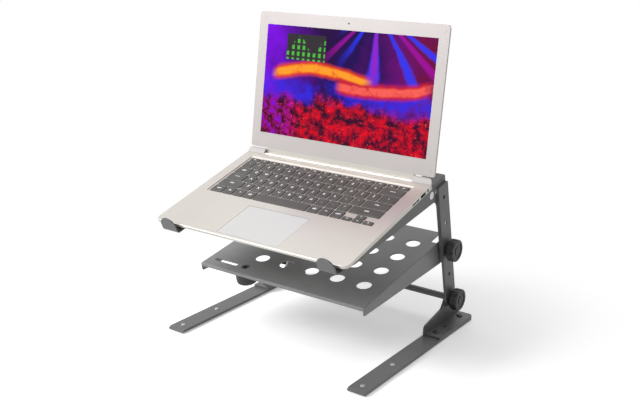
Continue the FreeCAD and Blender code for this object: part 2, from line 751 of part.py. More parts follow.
def key_layout():
    """Every key's footprint, sorted by the node it belongs to."""
    left = key_field_left
    row_s = [key_field_front + key_row_gap / 2 + step * key_row_pitch for step in range(key_rows_full)]
    arrow_left = key_field_right - 3 * arrow_unit
    space_start = left + space_bar_start * key_unit
    bottom_left = key_row((space_bar_start - 3, 1, 1, 1), left, row_s[0])
    right_start = space_start + space_bar_units * key_unit
    right_share = (arrow_left - right_start) / key_unit / 3
    bottom_right = key_row((right_share,) * 3, right_start, row_s[0])
    arrow_depth = (key_row_pitch - key_row_gap - arrow_gap) / 2
    upper_arrow_s = row_s[0] + arrow_depth + arrow_gap
    arrows = key_row((1, 1, 1), arrow_left, row_s[0], arrow_unit, arrow_depth)
    arrows += key_row((1,), arrow_left + arrow_unit, upper_arrow_s, arrow_unit, arrow_depth)
    numbers = key_row((1,) * 13 + (2,), left, row_s[4])
    home = key_row((1.75,) + (1,) * 11 + (2.25,), left, row_s[2])
    return {
        "keys_function_row": key_row((1,) * 15, left, function_row_s + key_row_gap / 2,
                                     depth=function_row_pitch - key_row_gap),
        "keys_number_row": numbers[:-1],
        "key_backspace": numbers[-1:],
        "keys_upper_row": key_row((1.5,) + (1,) * 12 + (1.5,), left, row_s[3]),
        "keys_home_row": home[:-1],
        "key_enter": home[-1:],
        "keys_lower_row": key_row((2.25,) + (1,) * 10 + (2.75,), left, row_s[1]),
        "keys_bottom_row": bottom_left + bottom_right,
        "key_space_bar": key_row((space_bar_units,), space_start, row_s[0]),
        "keys_arrows": arrows,
    }


def key_stems(x0, x1, s0, s1, diameter, z0, z1):
    """One guide stem at a key's middle, or two on a wide key."""
    middle = (x0 + x1) / 2
    offset = (x1 - x0) / 4 if x1 - x0 > 2 * key_unit else 0
    places = [middle] if offset == 0 else [middle - offset, middle + offset]
    return [rod_z(diameter, x, (s0 + s1) / 2, z0, z1) for x in places]


def key_cap(x0, x1, s0, s1):
    cap = slab(rectangle(x0, x1, s0, s1, key_corner_radius), key_bottom, -key_top_drop)
    top_edges = [edge for edge in cap.Edges if lies_on(edge, "z", -key_top_drop)]
    cap = cap.makeChamfer(key_edge_chamfer, top_edges)
    stems = key_stems(x0, x1, s0, s1, key_stem_d, plate_top - plate_sheet, key_bottom)
    return cap.fuse(stems).removeSplitter()


def keyboard_plate(layout):
    """Backing plate with a rim under the deck's well, and a guide hole for every key stem."""
    x0, x1 = key_field_left - recess_margin_x, key_field_right + recess_margin_x
    s0, s1 = key_field_front, key_field_rear
    bottom = plate_top - plate_sheet
    pan = slab(rectangle(x0, x1, s0, s1, 2), bottom, -recess_depth - deck_sheet)
    well = slab(rectangle(x0 + plate_rim, x1 - plate_rim, s0 + plate_rim / 2, s1 - plate_rim / 2, 1),
                plate_top, -recess_depth - deck_sheet)
    guides = []
    for keys in layout.values():
        for key in keys:
            guides += key_stems(*key, key_stem_d + 2 * key_stem_clearance, bottom, plate_top)
    return placed(pan.cut(well).cut(guides), deck_frame)


def keyboard_well():
    """Sunk well with sloping sides, widest at the top; the rear slope is the broad one."""
    x0, x1 = key_field_left - recess_margin_x, key_field_right + recess_margin_x
    s0, s1 = key_field_front - recess_margin_front, key_field_rear + recess_margin_rear
    low = outline(rectangle(x0, x1, s0, s1, recess_corner_radius)).OuterWire
    high = outline(rectangle(x0 - recess_slope_side, x1 + recess_slope_side, s0 - recess_slope_side,
                             s1 + recess_slope_rear, recess_corner_radius)).OuterWire
    low.translate(Vector(0, 0, -recess_depth))
    return Part.makeLoft([low, high], True, True)


# ------------------------------------------------------------- laptop casing
def body_plan(inset=0.0):
    return rectangle(-half_width + inset, half_width - inset, inset, laptop_depth - inset,
                     laptop_corner_radius - inset)


def deck(layout):
    """Top case: sheet with a short skirt, a sunk keyboard well and openings for keys and touchpad."""
    case = slab(body_plan(), -deck_skirt, 0)
    case = case.makeChamfer(deck_edge_chamfer, [edge for edge in case.Edges if lies_on(edge, "z", 0)])
    case = case.cut(slab(body_plan(deck_sheet), -deck_skirt, -deck_sheet))
    side_reach = recess_margin_x + recess_rim
    pan = slab(rectangle(key_field_left - side_reach, key_field_right + side_reach,
                         key_field_front - recess_margin_front - recess_rim,
                         key_field_rear + recess_margin_rear + recess_slope_rear + recess_rim / 2,
                         recess_corner_radius),
               -recess_depth - deck_sheet, -deck_sheet / 2)
    case = case.fuse(pan).cut(keyboard_well())
    openings = []
    for keys in layout.values():
        for x0, x1, s0, s1 in keys:
            openings.append(slab(rectangle(x0 - key_clearance, x1 + key_clearance, s0 - key_clearance,
                                           s1 + key_clearance, key_corner_radius),
                                 -recess_depth - deck_sheet, -recess_depth))
    reach = touchpad_width / 2 + touchpad_clearance
    openings.append(slab(rectangle(-reach, reach, touchpad_front_s - touchpad_clearance,
                                   touchpad_front_s + touchpad_depth + touchpad_clearance,
                                   touchpad_corner_radius), -deck_skirt, 0))
    openings.append(block(-laptop_width, laptop_width, notch_s, 2 * laptop_depth, -hinge_shelf_drop, 1))
    return placed(case.cut(openings).removeSplitter(), deck_frame)


def case_form(inset, top):
    """The bottom case's outer or inner form: an upright rim, then tapering in to the flat underside."""
    far = 2 * laptop_depth
    growth = (rim_rear - rim_front) / laptop_depth
    below_rim = side_plate([(-far, -far), (far, -far), (far, -rim_front - growth * far),
                            (-far, -rim_front + growth * far)], -far, far)
    rim = slab(body_plan(inset), -2 * rim_rear, top).cut(below_rim)
    rim_edge = min(rim.Faces, key=lambda face: face.CenterOfMass.z).OuterWire
    reach = half_width - underside_inset_side - inset
    flat = outline(rectangle(-reach, reach, underside_inset_front + inset,
                             laptop_depth - underside_inset_rear - inset,
                             underside_corner_radius - inset)).OuterWire
    flat.translate(Vector(0, 0, laptop_foot_height + inset))
    taper = Part.makeLoft([placed(flat, deck_on_seat.inverse()), rim_edge], True, True)
    return rim.fuse(taper).removeSplitter()


def port_block(kind, from_rear, x0, x1, grow=0.0):
    """A port's mouth, made solid from x0 to x1; grow adds a wall all round."""
    s = laptop_depth - from_rear
    if kind == "jack":
        return rod_x(jack_d + 2 * grow, x0, x1, s, -port_drop)
    width, height = {"usb": usb_size, "display": display_port_size, "card": card_slot_size}[kind]
    half_s, half_t = width / 2 + grow, height / 2 + grow
    return side_plate(rectangle(s - half_s, s + half_s, -port_drop - half_t, -port_drop + half_t,
                                port_corner_radius), x0, x1)


def base_shell():
    """Bottom case: a thin-walled tub with port mouths and a shelf at the back for the hinge."""
    outer = case_form(0, -deck_skirt)
    inner = case_form(shell_wall, -deck_skirt)
    shelf = block(-half_width, half_width, notch_s - shell_wall, laptop_depth,
                  -hinge_shelf_drop - shell_wall, -deck_skirt).common(outer)
    notch = block(-laptop_width, laptop_width, notch_s, 2 * laptop_depth, -hinge_shelf_drop, 1)
    shell = outer.cut(inner).fuse(shelf).removeSplitter().cut(notch)
    mouths = [port_block(*port, half_width - 2 * shell_wall, half_width + 1) for port in right_ports]
    mouths += [mirrored(port_block(*port, half_width - 2 * shell_wall, half_width + 1))
               for port in left_ports]
    return placed(shell.cut(mouths), deck_frame)


def port_sockets():
    """Socket shells behind the port mouths, each with the tongue that its plug needs."""
    def socket(kind, from_rear):
        outer_x = half_width - shell_wall
        inner_x = outer_x - port_depth
        shell = port_block(kind, from_rear, inner_x, outer_x, port_wall)
        shell = shell.cut(port_block(kind, from_rear, inner_x + port_wall, outer_x))
        if kind == "usb":
            s = laptop_depth - from_rear
            reach = usb_size[0] / 2 - usb_tongue_side_gap
            top = -port_drop + usb_size[1] / 2 - usb_tongue_top_gap
            shell = shell.fuse(block(inner_x, outer_x - usb_tongue_setback, s - reach, s + reach,
                                     top - usb_tongue, top))
        return shell
    right = [socket(*port) for port in right_ports]
    left = [mirrored(socket(*port)) for port in left_ports]
    return placed(group(right + left), deck_frame)


def hinge_caps():
    """End caps that carry the hinge pins and fill the rear corners up to the lid's foot."""
    inner_x = half_width - cap_width
    profile = [(notch_s, -hinge_shelf_drop), (2 * laptop_depth, -hinge_shelf_drop),
               (2 * laptop_depth, cap_rise), (hinge_s + cap_shoulder, cap_rise), (notch_s, 0)]
    cap = case_form(0, cap_rise).common(side_plate(profile, inner_x, laptop_width))
    cap = cap.makeChamfer(deck_edge_chamfer, [edge for edge in cap.Edges if lies_on(edge, "z", cap_rise)])
    cap = cap.cut(rod_x(hinge_pin_d, inner_x, barrel_half_length - hinge_pin_in_barrel + hinge_pin_length,
                        hinge_s, -hinge_drop))
    return placed(group(both_sides(cap)), deck_frame)


def lid_hinge_pins():
    start = barrel_half_length - hinge_pin_in_barrel
    pin = rod_x(hinge_pin_d, start, start + hinge_pin_length, hinge_s, -hinge_drop)
    return placed(group(both_sides(pin)), deck_frame)


def laptop_feet():
    places = [(half_width - laptop_foot_inset_x, laptop_foot_inset_front),
              (half_width - laptop_foot_inset_x, laptop_depth - laptop_foot_inset_rear)]
    feet = [rod_z(laptop_foot_d, x, s, 0, laptop_foot_height) for x, s in places]
    feet = [rounded_edges(foot, laptop_foot_radius, lambda edge: lies_on(edge, "z", 0)) for foot in feet]
    return placed(group(both_sides(*feet)), laptop_frame)


def case_screws():
    """Low-headed screws in the underside."""
    rows = [(case_screw_front_s, case_screw_columns), (case_screw_middle_s, case_screw_columns[::2]),
            (laptop_depth - case_screw_inset_rear, case_screw_columns)]
    screws = [rod_z(case_screw_d, x, s, laptop_foot_height - case_screw_height, laptop_foot_height)
              for s, columns in rows for x in columns]
    return placed(group(screws), laptop_frame)


def touchpad():
    """Clickable plate that tips about its rear edge."""
    half = touchpad_width / 2
    top = -touchpad_drop
    plate = slab(rectangle(-half, half, touchpad_front_s, touchpad_front_s + touchpad_depth,
                           touchpad_corner_radius), top - touchpad_thickness, top)
    return placed(plate, deck_frame)


def battery():
    width, depth, height = battery_size
    pack = slab(rectangle(-width / 2, width / 2, battery_front_s, battery_front_s + depth, 2),
                case_floor, case_floor + height)
    return placed(pack, laptop_frame)


def mainboard():
    """Circuit board on four standoffs, with its processor and memory packages."""
    x0, s0 = board_left_x, laptop_depth - board_from_rear
    x1, s1 = x0 + board_size[0], s0 + board_size[1]
    bottom = case_floor + board_standoff
    top = bottom + board_sheet
    board = slab(rectangle(x0, x1, s0, s1, 3), bottom, top)
    legs = [rod_z(board_leg_d, x, s, case_floor, bottom)
            for x in (x0 + board_leg_inset, x1 - board_leg_inset)
            for s in (s0 + board_leg_inset, s1 - board_leg_inset)]
    packages = [block(x0 + x, x0 + x + width, s0 + s, s0 + s + depth, top, top + chip_height)
                for x, s, width, depth in chips]
    return placed(board.fuse(legs + packages).removeSplitter(), laptop_frame)


def cooling_fan():
    """Flat blower: housing with a round intake and a bladed rotor."""
    width, depth, height = fan_size
    x0, s0 = fan_left_x, laptop_depth - fan_from_rear
    middle_x, middle_s = x0 + width / 2, s0 + depth / 2
    top = case_floor + height
    floor = case_floor + fan_floor
    housing = slab(rectangle(x0, x0 + width, s0, s0 + depth, fan_corner_radius), case_floor, top)
    housing = housing.cut(rod_z(fan_intake_d, middle_x, middle_s, floor, top))
    hub = rod_z(fan_hub_d, middle_x, middle_s, floor, top - fan_floor)
    blades = []
    for step in range(fan_blades):
        blade = block(0, fan_blade_tip_d / 2, -fan_blade_thickness / 2, fan_blade_thickness / 2,
                      floor, top - fan_floor)
        blade.rotate(Vector(), Vector(0, 0, 1), 360 * step / fan_blades)
        blade.translate(Vector(middle_x, middle_s, 0))
        blades.append(blade)
    return placed(housing.fuse([hub] + blades).removeSplitter(), laptop_frame)


def speakers():
    width, depth, height = speaker_size
    outer_x = half_width - speaker_inset
    box = slab(rectangle(outer_x - width, outer_x, speaker_front_s, speaker_front_s + depth, 2),
               case_floor, case_floor + height)
    return placed(group(both_sides(box)), laptop_frame)


# ------------------------------------------------------------------------ lid
# In the lid's frame Z runs up the lid from the hinge axis and Y points out of its back.
def lid_plan(inset=0.0):
    side, low, high = half_width - inset, lid_foot + inset, lid_height - inset
    foot_radius, top_radius = lid_foot_corner_radius - inset, lid_top_corner_radius - inset
    return [(-side, low, foot_radius), (side, low, foot_radius), (side, high, top_radius),
            (-side, high, top_radius)]


def lid_shell():
    """Back cover: thin-walled tray with softly rounded outer edges."""
    cover = front_plate(lid_plan(), bezel_back, lid_back)
    cover = rounded_edges(cover, lid_edge_radius, lambda edge: lies_on(edge, "y", lid_back))
    hollow = front_plate(lid_plan(lid_wall), bezel_back, lid_back - lid_wall)
    return placed(cover.cut(hollow), lid_frame)


def lid_bezel():
    """Front frame round the display."""
    frame_plate = front_plate(lid_plan(), lid_face, bezel_back)
    half = display_width / 2 + aperture_clearance
    window = front_plate(rectangle(-half, half, display_foot - aperture_clearance,
                                   display_foot + display_height + aperture_clearance, 0.4),
                         lid_face, bezel_back)
    eye = Part.makeCylinder(webcam_d / 2, bezel_thickness,
                            Vector(0, lid_face, lid_height - webcam_from_top), Vector(0, 1, 0))
    return placed(frame_plate.cut([window, eye]), lid_frame)


def display_panel():
    """Display module: the picture area stands in the bezel's window, its border lies behind."""
    half = display_width / 2
    top = display_foot + display_height
    picture = front_plate(rectangle(-half, half, display_foot, top), display_front, bezel_back)
    module = front_plate(rectangle(-half - display_border, half + display_border,
                                   display_foot - display_border, top + display_border, 1),
                         bezel_back, bezel_back + display_thickness)
    return placed(picture.fuse(module).removeSplitter(), lid_frame)


def webcam():
    lens = Part.makeCylinder(webcam_d / 2, lid_thickness - lid_wall,
                             Vector(0, lid_face, lid_height - webcam_from_top), Vector(0, 1, 0))
    return placed(lens, lid_frame)


def lid_bumpers():
    """Small soft dots that keep the closed lid off the deck."""
    x = half_width - bumper_inset
    dots = [Part.makeCylinder(bumper_d / 2, bumper_height, Vector(x, lid_face - bumper_height, z),
                              Vector(0, 1, 0))
            for z in (lid_foot + bumper_inset, lid_height - bumper_inset)]
    return placed(group(both_sides(*dots)), lid_frame)


def hinge_barrel():
    """Long barrel along the hinge axis with the web that carries the lid."""
    length = barrel_half_length
    web = side_plate([(lid_face, lid_foot), (lid_face, 0), (lid_face + web_root, 0),
                      (lid_back, lid_foot / 2), (lid_back, lid_foot)], -length, length)
    barrel = rod_x(2 * barrel_radius, -length, length)
    bore = rod_x(hinge_pin_d + 2 * hinge_pin_clearance, length - hinge_pin_in_barrel - 1, length)
    return placed(barrel.fuse(web).removeSplitter().cut(both_sides(bore)), lid_frame)


# -------------------------------------------------------------------- export
def build():
    layout = key_layout()
    parts = {}
    for name, shape in (("foot_bar", foot_bar()), ("foot_bracket", foot_bracket()),
                        ("post", post()), ("arm", arm())):
        parts[name + "_right"] = shape
        parts[name + "_left"] = mirrored(shape)

    lower_end = bracket_inner_x - crossbar_thread_depth + crossbar_thread_spare
    upper_end = tray_half_width - tray_sheet - nut_height - stud_overrun
    for level, height, stud_end in (("lower", 0, lower_end), ("upper", clamp_height, upper_end)):
        for piece, shape in (("knob", side_knob()), ("stud", knob_stud(stud_end))):
            shape.translate(Vector(0, 0, height))
            seated = placed(shape, post_frame)
            parts[f"{level}_{piece}_right"] = seated
            parts[f"{level}_{piece}_left"] = mirrored(seated)

    for make in (foot_pads, foot_rivets, bracket_screws, crossbar, arm_locating_pins, knob_washers,
                 pivot_spacers, tray, tray_weld_nuts, tray_bush, tray_knob, base_shell, port_sockets,
                 hinge_caps, lid_hinge_pins, laptop_feet, case_screws, touchpad, battery, mainboard,
                 cooling_fan, speakers, lid_shell, lid_bezel, display_panel, webcam, lid_bumpers,
                 hinge_barrel):
        parts[make.__name__] = make()
    parts["deck"] = deck(layout)
    parts["keyboard_plate"] = keyboard_plate(layout)
    for name, keys in layout.items():
        parts[name] = placed(group([key_cap(*key) for key in keys]), deck_frame)
    return parts


os.makedirs("parts", exist_ok=True)
for node, solid in build().items():
    solid.exportStep(f"parts/{node}.step")
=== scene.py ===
import json
from math import pi, radians

import bmesh
import bpy
from mathutils import Matrix, Vector


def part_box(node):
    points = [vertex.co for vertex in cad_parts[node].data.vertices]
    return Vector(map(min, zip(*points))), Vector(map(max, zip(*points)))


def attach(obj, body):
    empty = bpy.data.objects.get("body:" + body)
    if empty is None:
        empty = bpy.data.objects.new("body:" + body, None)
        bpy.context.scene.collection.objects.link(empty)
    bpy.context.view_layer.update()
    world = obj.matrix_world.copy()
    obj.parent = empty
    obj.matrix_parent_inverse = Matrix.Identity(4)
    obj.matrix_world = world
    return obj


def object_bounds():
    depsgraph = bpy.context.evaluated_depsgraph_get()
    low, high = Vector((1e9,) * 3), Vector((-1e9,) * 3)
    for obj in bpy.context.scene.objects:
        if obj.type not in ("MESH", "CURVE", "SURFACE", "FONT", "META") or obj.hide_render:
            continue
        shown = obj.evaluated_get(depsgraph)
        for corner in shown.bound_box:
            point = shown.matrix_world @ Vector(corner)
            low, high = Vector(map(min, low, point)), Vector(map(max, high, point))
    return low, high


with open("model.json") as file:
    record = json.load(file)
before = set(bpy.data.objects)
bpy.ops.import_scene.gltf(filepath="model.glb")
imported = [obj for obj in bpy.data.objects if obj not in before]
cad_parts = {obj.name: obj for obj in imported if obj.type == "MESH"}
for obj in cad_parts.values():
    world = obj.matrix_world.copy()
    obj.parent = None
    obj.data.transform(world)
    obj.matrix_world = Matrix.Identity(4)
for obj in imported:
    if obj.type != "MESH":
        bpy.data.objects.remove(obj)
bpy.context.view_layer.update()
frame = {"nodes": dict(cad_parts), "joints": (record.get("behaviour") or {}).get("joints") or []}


# ---------------------------------------------------------------- feet, brackets, posts, arms
# Flat steel bars and folded steel sheet under one satin dark grey powder coat.
# The coat has a fine orange-peel skin and a slight cloudiness where it cured.
class Socket:
    """A shader value: sums, products and powers of it add Math nodes to its own tree."""

    def __init__(self, tree, socket):
        self.tree, self.socket = tree, socket

    def put(self, kind, inputs, output=0, **settings):
        """Adds a node, sets it up, feeds its sockets and gives back one of its outputs."""
        node = self.tree.nodes.new(kind)
        for name, value in settings.items():
            if name == "stops":
                ramp = node.color_ramp
                while len(ramp.elements) < len(value):
                    ramp.elements.new(0.5)
                for element, (position, colour) in zip(ramp.elements, value):
                    element.position, element.color = position, (*colour, 1)
            else:
                setattr(node, name, value)
        for name, value in inputs.items():
            if isinstance(value, Socket):
                self.tree.links.new(value.socket, node.inputs[name])
            else:
                node.inputs[name].default_value = value
        return Socket(self.tree, node.outputs[output])

    def maths(self, operation, *others, clamp=False):
        values = dict(enumerate((self,) + others))
        return self.put("ShaderNodeMath", values, operation=operation, use_clamp=clamp)

    def __add__(self, other):
        return self.maths("ADD", other)

    __radd__ = __add__

    def __mul__(self, other):
        return self.maths("MULTIPLY", other)

    __rmul__ = __mul__

    def __sub__(self, other):
        return self.maths("SUBTRACT", other)

    def __rsub__(self, other):
        return self.put("ShaderNodeMath", {0: other, 1: self}, operation="SUBTRACT")

    def __pow__(self, other):
        return self.maths("POWER", other)

    def __abs__(self):
        return self.maths("ABSOLUTE")

    def step(self, low, high):
        """0 below low, 1 above high, eased between."""
        return self.put("ShaderNodeMapRange", {"Value": self, "From Min": low, "From Max": high},
                        interpolation_type="SMOOTHSTEP")

    def mix(self, colour_a, colour_b):
        """colour_a where this mask is 0, colour_b where it is 1."""
        return self.put("ShaderNodeMix", {0: self, 6: colour_a, 7: colour_b}, output=2, data_type="RGBA")

    def noise(self, scale, detail=2.0, rough=0.5):
        """Noise over this vector, 0 to 1."""
        return self.put("ShaderNodeTexNoise", {"Vector": self, "Scale": scale, "Detail": detail,
                                               "Roughness": rough})

    def bump(self, strength, distance):
        return self.put("ShaderNodeBump", {"Height": self, "Strength": strength, "Distance": distance})

    def axes(self):
        """The three numbers of this vector."""
        node = self.put("ShaderNodeSeparateXYZ", {0: self}).socket.node
        return [Socket(self.tree, node.outputs[index]) for index in range(3)]


def start_finish(name):
    """A new material and the object coordinates that its pattern follows."""
    material = bpy.data.materials.new(name)
    material.use_nodes = True
    material.node_tree.nodes.clear()
    tree = material.node_tree
    return material, Socket(tree, tree.nodes.new("ShaderNodeTexCoord").outputs["Object"])


def end_finish(place, **sockets):
    """The surface itself; socket names are given in lower case with underscores."""
    named = {name.replace("_", " ").title().replace("Ior", "IOR"): value for name, value in sockets.items()}
    shader = place.put("ShaderNodeBsdfPrincipled", named)
    output = place.tree.nodes.new("ShaderNodeOutputMaterial")
    place.tree.links.new(shader.socket, output.inputs["Surface"])


def dress(material, *names):
    """Gives CAD pieces their finish."""
    for name in names:
        for socket in frame["nodes"][name].material_slots:
            socket.link = "OBJECT"
            socket.material = material


def powder_coat(name, tone):
    """Satin grey powder coat; tone is how light the grey is."""
    material, place = start_finish(name)
    cloud = place.noise(35, 3).step(0.3, 0.7)
    colour = cloud.mix((tone * 0.93, tone * 0.93, tone * 0.95, 1), (tone * 1.06, tone * 1.06, tone * 1.08, 1))
    peel = place.noise(1500, 2) + place.noise(420, 1) * 0.6
    end_finish(place, base_color=colour, roughness=0.40 + cloud * 0.06, specular_ior_level=0.5,
               normal=peel.bump(0.22, 0.0002))
    return material


dress(powder_coat("powder_coat", 0.118), "foot_bar_left", "foot_bar_right", "foot_bracket_left",
      "foot_bracket_right", "crossbar", "post_left", "post_right", "arm_left", "arm_right")


# ---------------------------------------------------------------- foot pads, rivets and screws
# Black rubber discs under the bars, zinc-plated domed rivets through them,
# and black button-head socket screws that hold the brackets to the feet.
material, place = start_finish("foot_rubber")
speckle = place.noise(1800, 2)
end_finish(place, base_color=speckle.mix((0.022, 0.022, 0.022, 1), (0.040, 0.040, 0.040, 1)),
           roughness=0.75 + speckle * 0.15, normal=speckle.bump(0.4, 0.0002))
dress(material, "foot_pads", "laptop_feet")

material, place = start_finish("zinc_plate")
brush = place.put("ShaderNodeMapping", {"Vector": place, "Scale": (300, 2500, 2500)}).noise(1, 2)
end_finish(place, base_color=brush.mix((0.40, 0.40, 0.41, 1), (0.56, 0.56, 0.57, 1)), metallic=1.0,
           roughness=0.30 + brush * 0.15, normal=brush.bump(0.15, 0.0001))
dress(material, "foot_rivets", "knob_washers", "lower_stud_left", "lower_stud_right", "upper_stud_left",
      "upper_stud_right", "tray_weld_nuts", "arm_locating_pins", "lid_hinge_pins", "case_screws")

material, place = start_finish("black_oxide")
grain = place.noise(2200, 2)
end_finish(place, base_color=grain.mix((0.018, 0.018, 0.019, 1), (0.032, 0.032, 0.034, 1)),
           roughness=0.32 + grain * 0.12, normal=grain.bump(0.1, 0.0001))
dress(material, "bracket_screws")


# ---------------------------------------------------------------- side knobs and thumb knob
# Moulded black plastic with a fine spark-eroded grain, pressed on the zinc studs.
# The rims carry a trace of grey rubbing where fingers grip them.
material, place = start_finish("knob_plastic")
grain = place.noise(1700, 3, 0.6)
rub = place.noise(160, 3).step(0.45, 0.75)
end_finish(place, base_color=rub.mix((0.020, 0.020, 0.021, 1), (0.034, 0.034, 0.035, 1)),
           roughness=0.42 + grain * 0.16, normal=grain.bump(0.35, 0.0002))
dress(material, "lower_knob_left", "lower_knob_right", "upper_knob_left", "upper_knob_right", "tray_knob")


# ---------------------------------------------------------------- spacers and tray bush
# Turned black nylon rings between the arms and the tray's ears, and the bush in the tray.
# The skin is smooth and slightly waxy.
material, place = start_finish("black_nylon")
wax = place.noise(700, 2)
end_finish(place, base_color=wax.mix((0.026, 0.026, 0.027, 1), (0.040, 0.040, 0.041, 1)),
           roughness=0.35 + wax * 0.1, normal=wax.bump(0.08, 0.0002))
dress(material, "pivot_spacers", "tray_bush")


# ---------------------------------------------------------------- shelf tray
# One folded steel sheet with punched holes, under the same kind of powder coat as the arms.
# Its coat is painted a lighter grey than theirs, as painted light for the light falling on its broad top.
dress(powder_coat("tray_coat_painted_light", 0.220), "tray")


# ---------------------------------------------------------------- foil seals on the arm
# Two bare round foil seals stuck on the right arm's outer side, near the post.
# They are thin embossed aluminium foil, without any print.
material, place = start_finish("seal_foil")
crease = place.noise(420, 3)
end_finish(place, base_color=crease.mix((0.50, 0.51, 0.53, 1), (0.86, 0.86, 0.87, 1)), metallic=0.6,
           roughness=0.30 + crease * 0.25, normal=crease.bump(0.5, 0.0003))
arm_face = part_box("arm_right")[1].x
foil_thickness = 0.00012
# each seal's name, its radius, and its middle on the arm's side
seals = (("arm_seal_large", 0.0056, 0.0690, 0.2195), ("arm_seal_small", 0.0036, 0.0815, 0.2225))


def make_piece(name, mesh, material):
    """Turns a finished bmesh into a piece of the scene with its material."""
    data = bpy.data.meshes.new(name)
    mesh.to_mesh(data)
    mesh.free()
    data.materials.append(material)
    piece = bpy.data.objects.new(name, data)
    bpy.context.scene.collection.objects.link(piece)
    return piece


for name, radius, y, z in seals:
    mesh = bmesh.new()
    bmesh.ops.create_circle(mesh, cap_ends=True, segments=40, radius=radius)
    bmesh.ops.transform(mesh, verts=mesh.verts, matrix=Matrix.Rotation(pi / 2, 4, "Y"))
    bmesh.ops.translate(mesh, verts=mesh.verts, vec=(arm_face, y, z))
    raised = bmesh.ops.extrude_face_region(mesh, geom=mesh.faces[:])["geom"]
    bmesh.ops.translate(mesh, vec=(foil_thickness, 0, 0),
                        verts=[part for part in raised if isinstance(part, bmesh.types.BMVert)])
    bmesh.ops.recalc_face_normals(mesh, faces=mesh.faces)
    seal = make_piece(name, mesh, material)
    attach(seal, "uprights")


# ---------------------------------------------------------------- laptop casing
# Bead-blasted aluminium, anodised a pale champagne; the sheen is soft and even.
# The plastic hinge caps are a shade greyer, and the steel port liners are stamped.
def anodised(name, colour, metallic, roughness):
    """A casing's skin, with a trace of cloudiness and the fine bead-blasted grain."""
    material, place = start_finish(name)
    bead = place.noise(3200, 2)
    tone = place.noise(9, 2).step(0.3, 0.7)
    dark = tuple(0.975 * part for part in colour) + (1,)
    light = tuple(min(1.0, 1.015 * part) for part in colour) + (1,)
    end_finish(place, base_color=tone.mix(dark, light), metallic=metallic, roughness=roughness + bead * 0.05,
               normal=bead.bump(0.12, 0.0001))
    return material


dress(anodised("champagne_aluminium", (0.565, 0.540, 0.497), metallic=0.60, roughness=0.34),
      "deck", "base_shell", "hinge_barrel")
# the lid shell is the casing's champagne aluminium painted darker, as painted shade for its edge that faces
# away from the lamps
dress(anodised("lid_aluminium_painted_shade", (0.36, 0.338, 0.325), metallic=0.50, roughness=0.38), "lid_shell")
dress(anodised("bezel_aluminium", (0.50, 0.465, 0.455), metallic=0.30, roughness=0.40),
      "lid_bezel", "lid_bumpers")
dress(anodised("hinge_plastic", (0.42, 0.40, 0.39), metallic=0.0, roughness=0.45), "hinge_caps")

material, place = start_finish("port_steel")
stamped = place.noise(900, 2)
end_finish(place, base_color=stamped.mix((0.05, 0.05, 0.055, 1), (0.11, 0.11, 0.12, 1)), metallic=0.7,
           roughness=0.35 + stamped * 0.1, normal=stamped.bump(0.1, 0.0001))
dress(material, "port_sockets")


# ---------------------------------------------------------------- inside the casing
# Lithium battery in black film, green circuit board, blower, speakers and the steel keyboard plate.
# None of them shows while the laptop is whole.
material, place = start_finish("board_green")
track = place.put("ShaderNodeTexVoronoi", {"Vector": place, "Scale": 260}, distance="MANHATTAN")
track = track.step(0.2, 0.6)
end_finish(place, base_color=track.mix((0.012, 0.075, 0.030, 1), (0.030, 0.17, 0.070, 1)),
           roughness=0.35 + track * 0.1, normal=track.bump(0.2, 0.0002))
dress(material, "mainboard")

material, place = start_finish("black_film")
film = place.noise(300, 3)
end_finish(place, base_color=film.mix((0.018, 0.018, 0.020, 1), (0.036, 0.036, 0.040, 1)),
           roughness=0.40 + film * 0.2, normal=film.bump(0.25, 0.0003))
dress(material, "battery", "cooling_fan", "speakers")

material, place = start_finish("plate_steel")
rolled = place.put("ShaderNodeMapping", {"Vector": place, "Scale": (40, 2000, 2000)}).noise(1, 2)
end_finish(place, base_color=rolled.mix((0.09, 0.085, 0.08, 1), (0.14, 0.135, 0.13, 1)), metallic=0.3,
           roughness=0.45 + rolled * 0.1, normal=rolled.bump(0.1, 0.0001))
dress(material, "keyboard_plate")


# ---------------------------------------------------------------- keys
# Dark taupe keys with a fine matt grain and pale printed legends.
# The legends of a group of keys are one thin print that travels with them.
material, place = start_finish("key_plastic")
grain = place.noise(2600, 2)
worn = place.noise(60, 2).step(0.35, 0.7)
end_finish(place, base_color=worn.mix((0.058, 0.054, 0.051, 1), (0.075, 0.070, 0.066, 1)),
           roughness=0.42 + grain * 0.12, normal=grain.bump(0.2, 0.0001))
dress(material, "keys_function_row", "keys_number_row", "key_backspace", "keys_upper_row",
      "keys_home_row", "key_enter", "keys_lower_row", "keys_bottom_row", "key_space_bar", "keys_arrows")

ink, place = start_finish("legend_ink")
grain = place.noise(900, 2)
end_finish(place, base_color=grain.mix((0.88, 0.87, 0.86, 1), (0.97, 0.96, 0.95, 1)),
           roughness=0.5 + grain * 0.1)

# the deck's own axes: x to the right, s from the hinge towards the back, both flat on the deck
lid_hinge = next(joint for joint in frame["joints"] if joint["name"] == "lid_swing")
hinge_point = Vector(lid_hinge["pos_m"])
deck_slope = radians(16.06)
deck_top = 0.0025                      # above the hinge axis
deck_place = Matrix.Translation(hinge_point) @ Matrix.Rotation(deck_slope, 4, "X")
hinge_to_front = 0.21766               # from the hinge axis to the deck's front edge

unit, pitch = 0.0189, 0.0190           # a plain key's share of its row, and from row to row
left_end = -0.14225                    # the rows' left end
front_row = 0.0932 - hinge_to_front    # the front row's front line
key_top = deck_top - 0.0001
ink_thickness = 0.00003
letter_size, small_letter_size = 0.0059, 0.0031
above_middle = 0.0012                  # a legend stands this far behind the middle of its key


